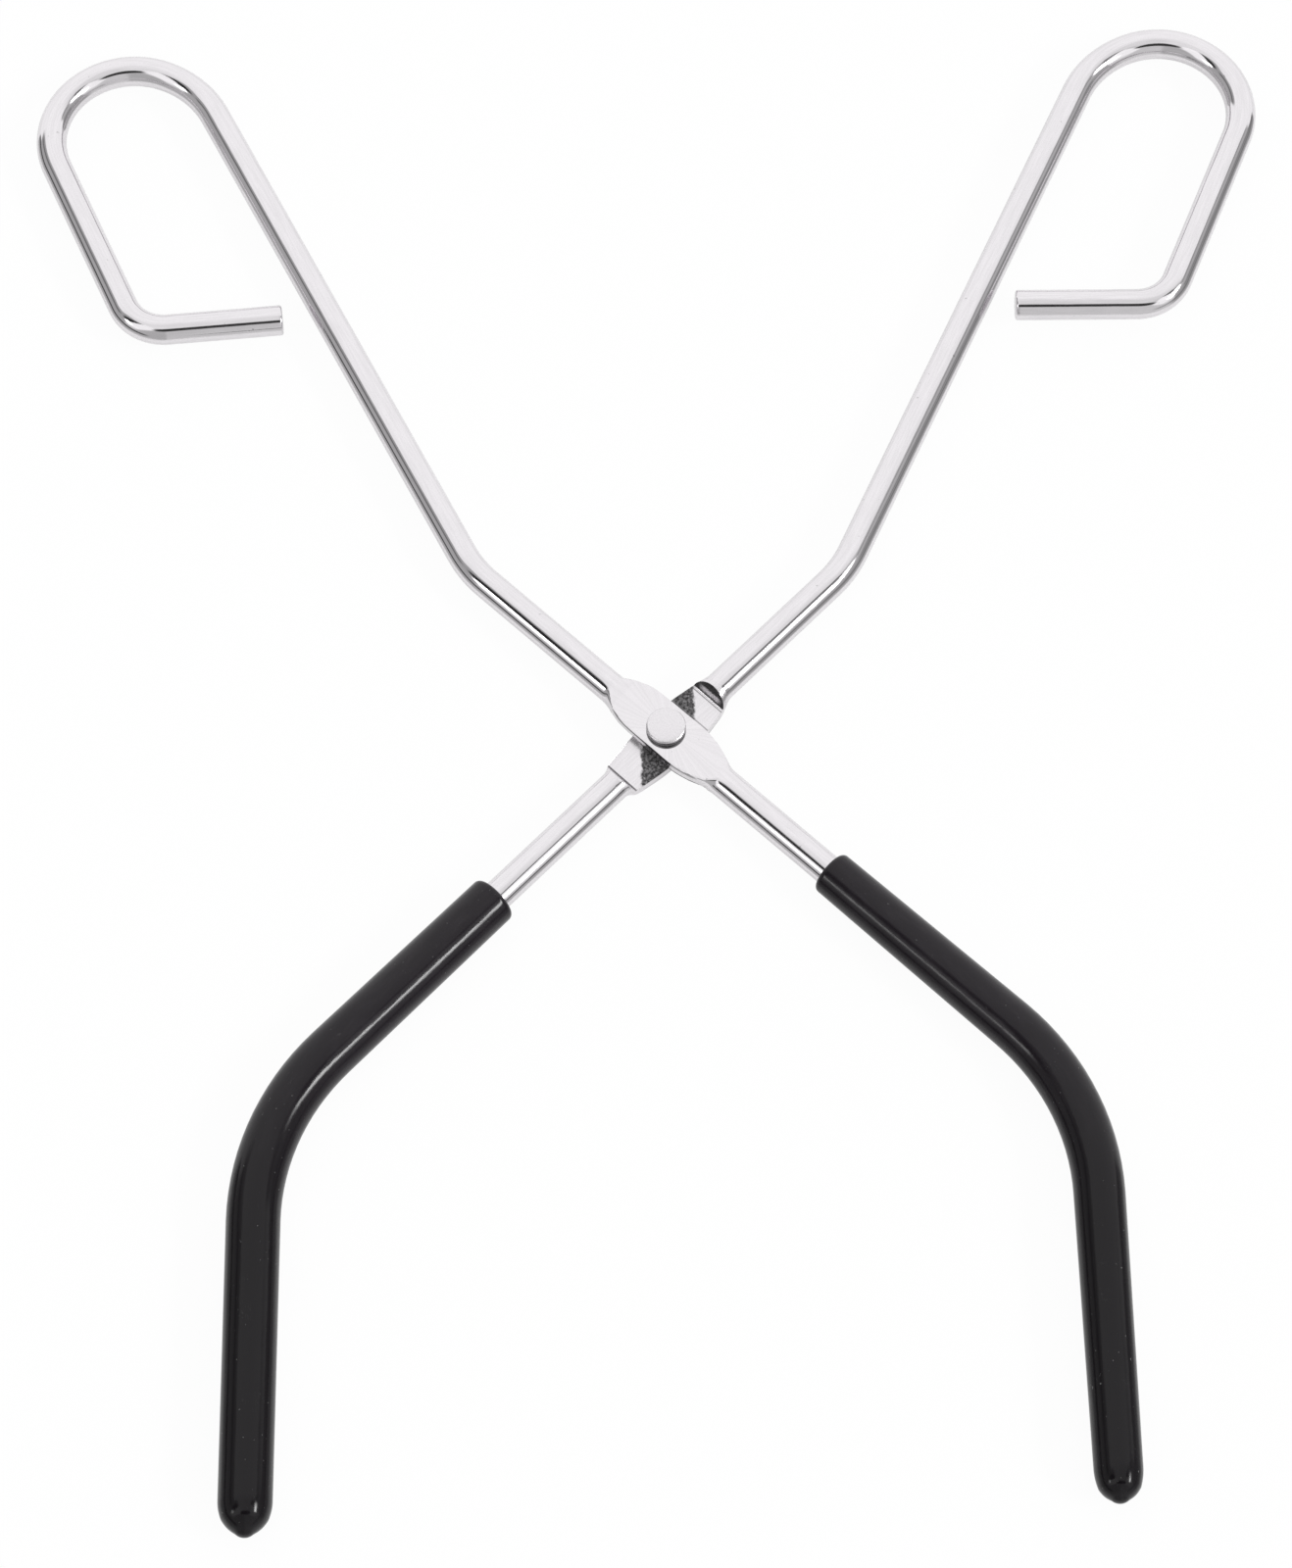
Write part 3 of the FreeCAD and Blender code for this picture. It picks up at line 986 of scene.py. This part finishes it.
def makeSleeve(sleeve, arm, finish):
    jaw = jawRoute(arm)
    lip = sleeveShape["lip"]
    bore = sleeveShape["boreRadius"]
    wireEnd = jaw.length - sleeveShape["tipWall"] + sleeveShape["wireEndGap"]
    tipStart = jaw.length - sleeveShape["tip"]
    start = sleeve["start"]
    mouth = sleeveRadius(sleeve, jaw, start)
    inside = jaw.stations(start + sleeveShape["mouthGap"], wireEnd)
    shape = [(s, bore) for s in reversed(inside)]
    shape += [(start + inward, bore + out) for inward, out in sleeveShape["mouthRound"]]
    shape.append((start, (bore + mouth - lip) / 2))
    for degrees in range(0, 91, 10):
        roll = math.radians(degrees)
        shape.append((start + lip * (1 - math.cos(roll)), mouth - lip * (1 - math.sin(roll))))
    for s in jaw.stations(start + lip + sleeveShape["lipGap"], tipStart):
        shape.append((s, sleeveRadius(sleeve, jaw, s)))
    shape += [(tipStart + s, size) for s, size in tipOutline(sleeve["end"] / 2)]
    rings = []
    memory = []
    circle = [2 * math.pi * i / sleeveShape["around"] for i in range(sleeveShape["around"])]
    for s, size in shape:
        place, heading = jaw.at(min(s, jaw.length - 0.001))
        across = direction(heading + 90)
        ring = [(size * math.cos(a), size * math.sin(a)) for a in circle]
        rings.append([place + across * v + Vector((0, 0, z)) for v, z in ring])
        memory += [(s, v, z) for v, z in ring]
    points, faces = skin(rings)
    memory += [(shape[0][0], 0, 0), (shape[-1][0], 0, 0)]
    mesh = makeMesh(sleeve["name"], points, faces)
    remember(mesh, memory)
    mesh.set_sharp_from_angle(angle=math.radians(sleeveShape["sharpAngle"]))
    mesh.materials.append(finish)
    show(mesh, sleeve["name"], sleeve["body"], sleeve["node"])


plating = {
    "colour": 0.80,
    "clean": 1.03,  # shares of that colour
    "dull": 0.91,
    "pitted": 0.4,
    "pits": 0.5,
    "edgeShadeLine": (0.05, 0.3),  # painted shade line round the leaf's side wall, near the loop and near the jaw
    "bareColour": 0.035,  # floor that the other leaf covers when the tongs close
    "bareSpecks": 0.26,
    "bareMetallic": 0.75,
    "shoulderDarkReflection": 0.09,  # painted dark reflection on the shoulder at the end of the floor
    # painted highlight stripe across the shoulder
    "shoulderHighlightColour": 0.9,
    # painted shade in the floor's creases, also used for the painted shadow line beside the other
    # leaf's edge
    "floorShade": 0.2,
    "floorShadeShare": 0.8,
    "tint": 0.972,  # green's share; metal takes a trace of violet from the room
    "roughness": 0.045,
    "roughnessSpread": 0.07,
    "roughnessBare": 0.3,
    "roughnessFloor": 0.18,
    "waves": 0.016,  # mm, slow swells of the drawn wire
    "grain": 0.0008,  # mm
    "brushing": 0.003,  # mm, on the leaf and the bare floor
}

plateNoise = {
    # scale per mm, detail, roughness
    "streaks": (3.5, 4),
    "fine": (5.0, 4),
    "slow": (1.0, 2),
    "mottle": (2.3, 3, 0.75),
    "patches": (0.5, 2),
    "raggedness": (0.9, 4, 0.65),
    "fan": (1.6, 5, 0.7),
    "pits": (1.15, 2, 0.4),
    # how a noise is drawn out along the bar
    "streaksDrawn": (0.06, 1.0, 1.0),
    "slowDrawn": (0.16, 0.4, 0.4),
    "fanDrawn": (9.0, 9.0, 0.0),
}

plateMarks = {
    # places on the straightened bar in mm: u along it towards the jaw, v across,
    # z up; a pair is where a soft edge starts and ends
    "leafTop": (1.6, 2.0),
    "leafEnds": (12.0, 9.5),
    "floorTop": (0.4, 0.1),
    "floorEnds": (11.6, 11.2),
    "raggedness": (-1.1, 1.1),
    "bareSide": (4.65, 3.95),
    "speckleSide": (4.2, 3.7),
    "shoulderFace": (0.14, 0.07),
    "shoulderTop": (0.0, -0.12),
    "shoulderFrom": 0.15,
    "stripeDrop": 0.8,
    "stripeWave": (-0.3, 0.3),
    "stripeWidth": (0.6, 0.2),
    "stripeSides": (2.6, 1.4),
    "edgeFoot": (1.35, 1.6),
    "edgeTop": (2.1, 2.0),
    "edgeEnds": (9.6, 8.2),
    "edgeSide": (0.5, -0.5),
    "edgeFarShare": 0.25,
    "edgeShadeLine": (-1.0, 3.5),
    "creaseShankInset": 0.45,
    "creaseShankWidth": (0.13, 0.06),
    "creaseJawInset": 0.12,
    "creaseJawWidth": (0.2, 0.1),
    "leafEdgeShadow": 5.0,  # painted shadow line, just beyond the other leaf's edge
    "leafEdgeShadowWidth": (0.25, 0.08),
    "leafEdgeShadowShare": 0.8,
    # where a noise turns into a mark
    "speckles": (0.40, 0.64),
    "speckleRim": 0.2,  # share of them at the rim of the bare floor
    "specklePatches": (0.3, 1.5),
    "cloud": (0.3, 0.7),
    "cloudFine": 0.35,  # share of the fine noise
    "fanCloud": (0.3, 0.65),
    "fanFine": 0.3,
    "pits": (0.745, 0.79),
}


def tinted(level):
    return (level, level * plating["tint"], level, 1.0)


def platedFinish(name, arm):
    paint = Shader(bpy.data.materials.new(name))
    straight = paint.node("Attribute", {"attribute_name": "straight"}, {}, "Vector")
    u = paint.node("SeparateXYZ", {}, {"Vector": straight})
    v = u.part("Y")
    z = u.part("Z")

    def noise(name, drawn=None):
        place = straight if drawn is None else paint.stretch(straight, plateNoise[drawn])
        return paint.noise(place, *plateNoise[name])

    def soft(value, name):
        return value.ease(*plateMarks[name])

    streaks = noise("streaks", "streaksDrawn")
    fine = noise("fine")
    slow = noise("slow", "slowDrawn")
    mottle = noise("mottle")

    # leaf, lap floor and its bare middle
    leaf = soft(z, "leafTop") * soft(abs(u), "leafEnds")
    floor = soft(z, "floorTop") * soft(abs(u), "floorEnds")
    floor = floor * (1 - leaf)
    heading = math.radians(-90 + arm["side"] * wire["halfSpread"])
    restX = u * math.cos(heading) - v * math.sin(heading)
    ragged = abs(restX) + noise("raggedness").span(*plateMarks["raggedness"])
    bare = soft(ragged, "bareSide") * floor
    rim = plateMarks["speckleRim"]
    speckle = soft(mottle, "speckles") * (soft(ragged, "speckleSide") * (1 - rim) + rim)
    speckle = speckle * noise("patches").span(*plateMarks["specklePatches"])

    # sheared shoulder with a painted dark reflection and a painted highlight stripe, painted
    # shade on the leaf's edge, painted shade in the floor's creases, painted shadow line beside
    # the other leaf's edge
    shankEnd, jawEnd = blade["lapShankEnd"], blade["lapJawEnd"]
    slope = math.tan(math.radians(blade["shoulderSlope"]))
    offShoulder = abs(shankEnd - u - (blade["lapLevel"] - z) * slope)
    sheared = soft(offShoulder, "shoulderFace") * soft(z, "shoulderTop")
    sheared = sheared * u.ease(shankEnd + plateMarks["shoulderFrom"], shankEnd)
    highlightStripe = abs(z + plateMarks["stripeDrop"] + mottle.span(*plateMarks["stripeWave"]))
    highlightStripe = soft(highlightStripe, "stripeWidth") * soft(abs(v), "stripeSides")
    far = plateMarks["edgeFarShare"]
    # painted shade on the leaf's side wall, stronger on one side
    edge = soft(z, "edgeFoot") * soft(z, "edgeTop") * soft(abs(u), "edgeEnds")
    edge = edge * (far + soft(v, "edgeSide") * (1 - far))
    # painted shade in the floor's creases near each shoulder
    floorShade = soft(abs(u - shankEnd - plateMarks["creaseShankInset"]), "creaseShankWidth")
    jawCreaseShade = soft(abs(u - jawEnd + plateMarks["creaseJawInset"]), "creaseJawWidth")
    # painted shadow line on the floor, just beyond the other leaf's edge
    leafEdgeShadow = soft(abs(u + plateMarks["leafEdgeShadow"]), "leafEdgeShadowWidth") * plateMarks["leafEdgeShadowShare"]
    floorShade = floorShade.most(jawCreaseShade).most(leafEdgeShadow) * floor

    # clouds along the wire, a fan of brush lines on the leaf, pits all over
    flat = paint.stretch(straight, (1, 1, 0))
    spread = paint.node("VectorMath", {"operation": "NORMALIZE"}, {0: flat})
    fan = paint.noise(paint.stretch(spread, plateNoise["fanDrawn"]), *plateNoise["fan"])
    fineCloud = soft(fine, "cloud")
    share = plateMarks["cloudFine"]
    cloud = fineCloud * share + soft(streaks, "cloud") * (1 - share)
    share = plateMarks["fanFine"]
    leafCloud = soft(fan, "fanCloud") * (1 - share) + fineCloud * share
    cloud = cloud * (1 - leaf) + leaf * leafCloud
    pits = soft(noise("pits"), "pits") * plating["pits"]

    level = plating["colour"]
    plate = paint.blend(cloud, tinted(level * plating["dull"]), tinted(level * plating["clean"]))
    plate = paint.blend(pits, plate, tinted(level * plating["pitted"]))
    dark = paint.blend(speckle, tinted(plating["bareColour"]), tinted(plating["bareSpecks"]))
    colour = paint.blend(bare, plate, dark)
    nearLoop, nearJaw = plating["edgeShadeLine"]
    edgeShadeColour = paint.blend(soft(u, "edgeShadeLine"), tinted(nearLoop), tinted(nearJaw))
    colour = paint.blend(edge, colour, edgeShadeColour)
    # painted dark reflection on the shoulder, with a painted highlight stripe
    faces = (tinted(plating["shoulderDarkReflection"]), tinted(plating["shoulderHighlightColour"]))
    colour = paint.blend(sheared, colour, paint.blend(highlightStripe, *faces))
    colour = paint.blend(floorShade * plating["floorShadeShare"], colour, tinted(plating["floorShade"]))
    metallic = 1 - bare * (1 - plating["bareMetallic"])
    rough = streaks.span(0, plating["roughnessSpread"]) * (1 - leaf * 0.5)
    rough = plating["roughness"] + rough
    rough = rough + (bare + sheared) * plating["roughnessBare"]
    rough = rough + floor * plating["roughnessFloor"]

    brushed = fan * leaf + mottle * bare * 0.5
    normal = paint.bump(slow, 1.0, plating["waves"] * millimetre)
    normal = paint.bump(streaks + fine * 0.5, 1.0, plating["grain"] * millimetre, normal)
    normal = paint.bump(brushed, 1.0, plating["brushing"] * millimetre, normal)
    return paint.surface({
        "Base Color": colour, "Metallic": metallic, "Roughness": rough, "Normal": normal,
    })


rivetPlate = {
    "dull": 0.73,
    "clean": 0.79,
    "clouds": (0.3, 0.65),
    # painted contact shade: the lower band of the head's side, just above the leaf, is coloured
    # dark
    "paintedShade": 0.07,
    "paintedShadeTop": (3.12, 2.92),  # mm up
    "paintedShadeFoot": (2.0, 2.1),
    "paintedShadeSpread": (0.8, 1.1),
    "roughness": (0.16, 0.26),
    "roughnessSide": 0.1,  # more on the side of the head
    "sideTop": (3.45, 3.35),
    "fine": (4.0, 4),  # noise: scale per mm, detail
    "soft": (0.8, 3),
    "fineDepth": 0.001,  # mm
    "softDepth": 0.01,
}


def rivetFinish():
    paint = Shader(bpy.data.materials.new("rivetPlate"))
    place = paint.node("TexCoord", output="Object")
    inMillimetres = paint.stretch(place, (1 / millimetre,) * 3)
    height = paint.node("SeparateXYZ", {}, {"Vector": inMillimetres}, "Z")
    fine = paint.noise(inMillimetres, *rivetPlate["fine"])
    soft = paint.noise(inMillimetres, *rivetPlate["soft"])
    # painted contact shade on the lower band of the head's side, where it meets the leaf
    paintedShade = height.ease(*rivetPlate["paintedShadeTop"]) * height.ease(*rivetPlate["paintedShadeFoot"])
    paintedShade = paintedShade * fine.span(*rivetPlate["paintedShadeSpread"])
    clouds = fine.ease(*rivetPlate["clouds"])
    colour = paint.blend(clouds, tinted(rivetPlate["dull"]), tinted(rivetPlate["clean"]))
    colour = paint.blend(paintedShade, colour, tinted(rivetPlate["paintedShade"]))
    rough = fine.span(*rivetPlate["roughness"])
    rough = rough + height.ease(*rivetPlate["sideTop"]) * rivetPlate["roughnessSide"]
    normal = paint.bump(fine, 1.0, rivetPlate["fineDepth"] * millimetre)
    normal = paint.bump(soft, 1.0, rivetPlate["softDepth"] * millimetre, normal)
    return paint.surface({
        "Base Color": colour, "Metallic": 1.0, "Roughness": rough, "Normal": normal,
    })


rubber = {
    "colour": (0.0125, 0.0100, 0.0130, 1.0),
    "worn": (0.0185, 0.0155, 0.0190, 1.0),
    "deep": (0.0055, 0.0044, 0.0058, 1.0),  # darker towards the tip
    "tipDarkening": (115.0, 68.0),  # mm from the pivot
    "dust": (0.16, 0.16, 0.16, 1.0),
    "dustShare": 0.7,
    "roughness": 0.11,
    "roughnessFine": (-0.02, 0.04),
    "roughnessBroad": (-0.03, 0.04),
    "gloss": 0.24,
    "bloom": 0.06,
    "unevenness": 0.035,  # mm
    # noises: scale per mm, detail, roughness
    "broad": (0.6, 4),
    "broadDrawn": (0.25, 1, 1),
    "fine": (6.0, 5),
    "specks": (1.7, 2, 0.4),
    "hairs": (1.3, 1, 0.3),
    "hairsDrawn": (0.5, 2.2, 2.2),
    "hairPatches": (0.35, 2),
    "hairShare": 0.6,
    # where a noise turns into a mark
    "wornFrom": (0.4, 0.75),
    "specksFrom": (0.74, 0.78),
    "hairWidth": (0.004, 0.0015),
    "hairsFrom": (0.6, 0.68),
}


def rubberFinish():
    paint = Shader(bpy.data.materials.new("sleeveRubber"))
    straight = paint.node("Attribute", {"attribute_name": "straight"}, {}, "Vector")
    broad = paint.noise(paint.stretch(straight, rubber["broadDrawn"]), *rubber["broad"])
    fine = paint.noise(straight, *rubber["fine"])
    specks = paint.noise(straight, *rubber["specks"]).ease(*rubber["specksFrom"])
    hairs = paint.noise(paint.stretch(straight, rubber["hairsDrawn"]), *rubber["hairs"])
    hairs = abs(hairs - 0.5).ease(*rubber["hairWidth"])
    hairs = hairs * paint.noise(straight, *rubber["hairPatches"]).ease(*rubber["hairsFrom"])
    dust = (specks + hairs * rubber["hairShare"]).least(1.0) * rubber["dustShare"]
    colour = paint.blend(broad.ease(*rubber["wornFrom"]), rubber["colour"], rubber["worn"])
    along = paint.node("SeparateXYZ", {}, {"Vector": straight})
    colour = paint.blend(along.ease(*rubber["tipDarkening"]), rubber["deep"], colour)
    colour = paint.blend(dust, colour, rubber["dust"])
    rough = rubber["roughness"] + fine.span(*rubber["roughnessFine"])
    rough = rough + broad.span(*rubber["roughnessBroad"])
    normal = paint.bump(broad, 1.0, rubber["unevenness"] * millimetre)
    return paint.surface({
        "Base Color": colour, "Roughness": rough, "Normal": normal,
        "Specular IOR Level": rubber["gloss"], "Sheen Weight": rubber["bloom"],
    })


makeArm(frontArm, platedFinish("frontPlating", frontArm))
makeArm(rearArm, platedFinish("rearPlating", rearArm))
print("wire arms made")
makeRivet(rivetFinish())
rubberSkin = rubberFinish()
makeSleeve(frontSleeve, frontArm, rubberSkin)
makeSleeve(rearSleeve, rearArm, rubberSkin)
print("rivet and sleeves made")
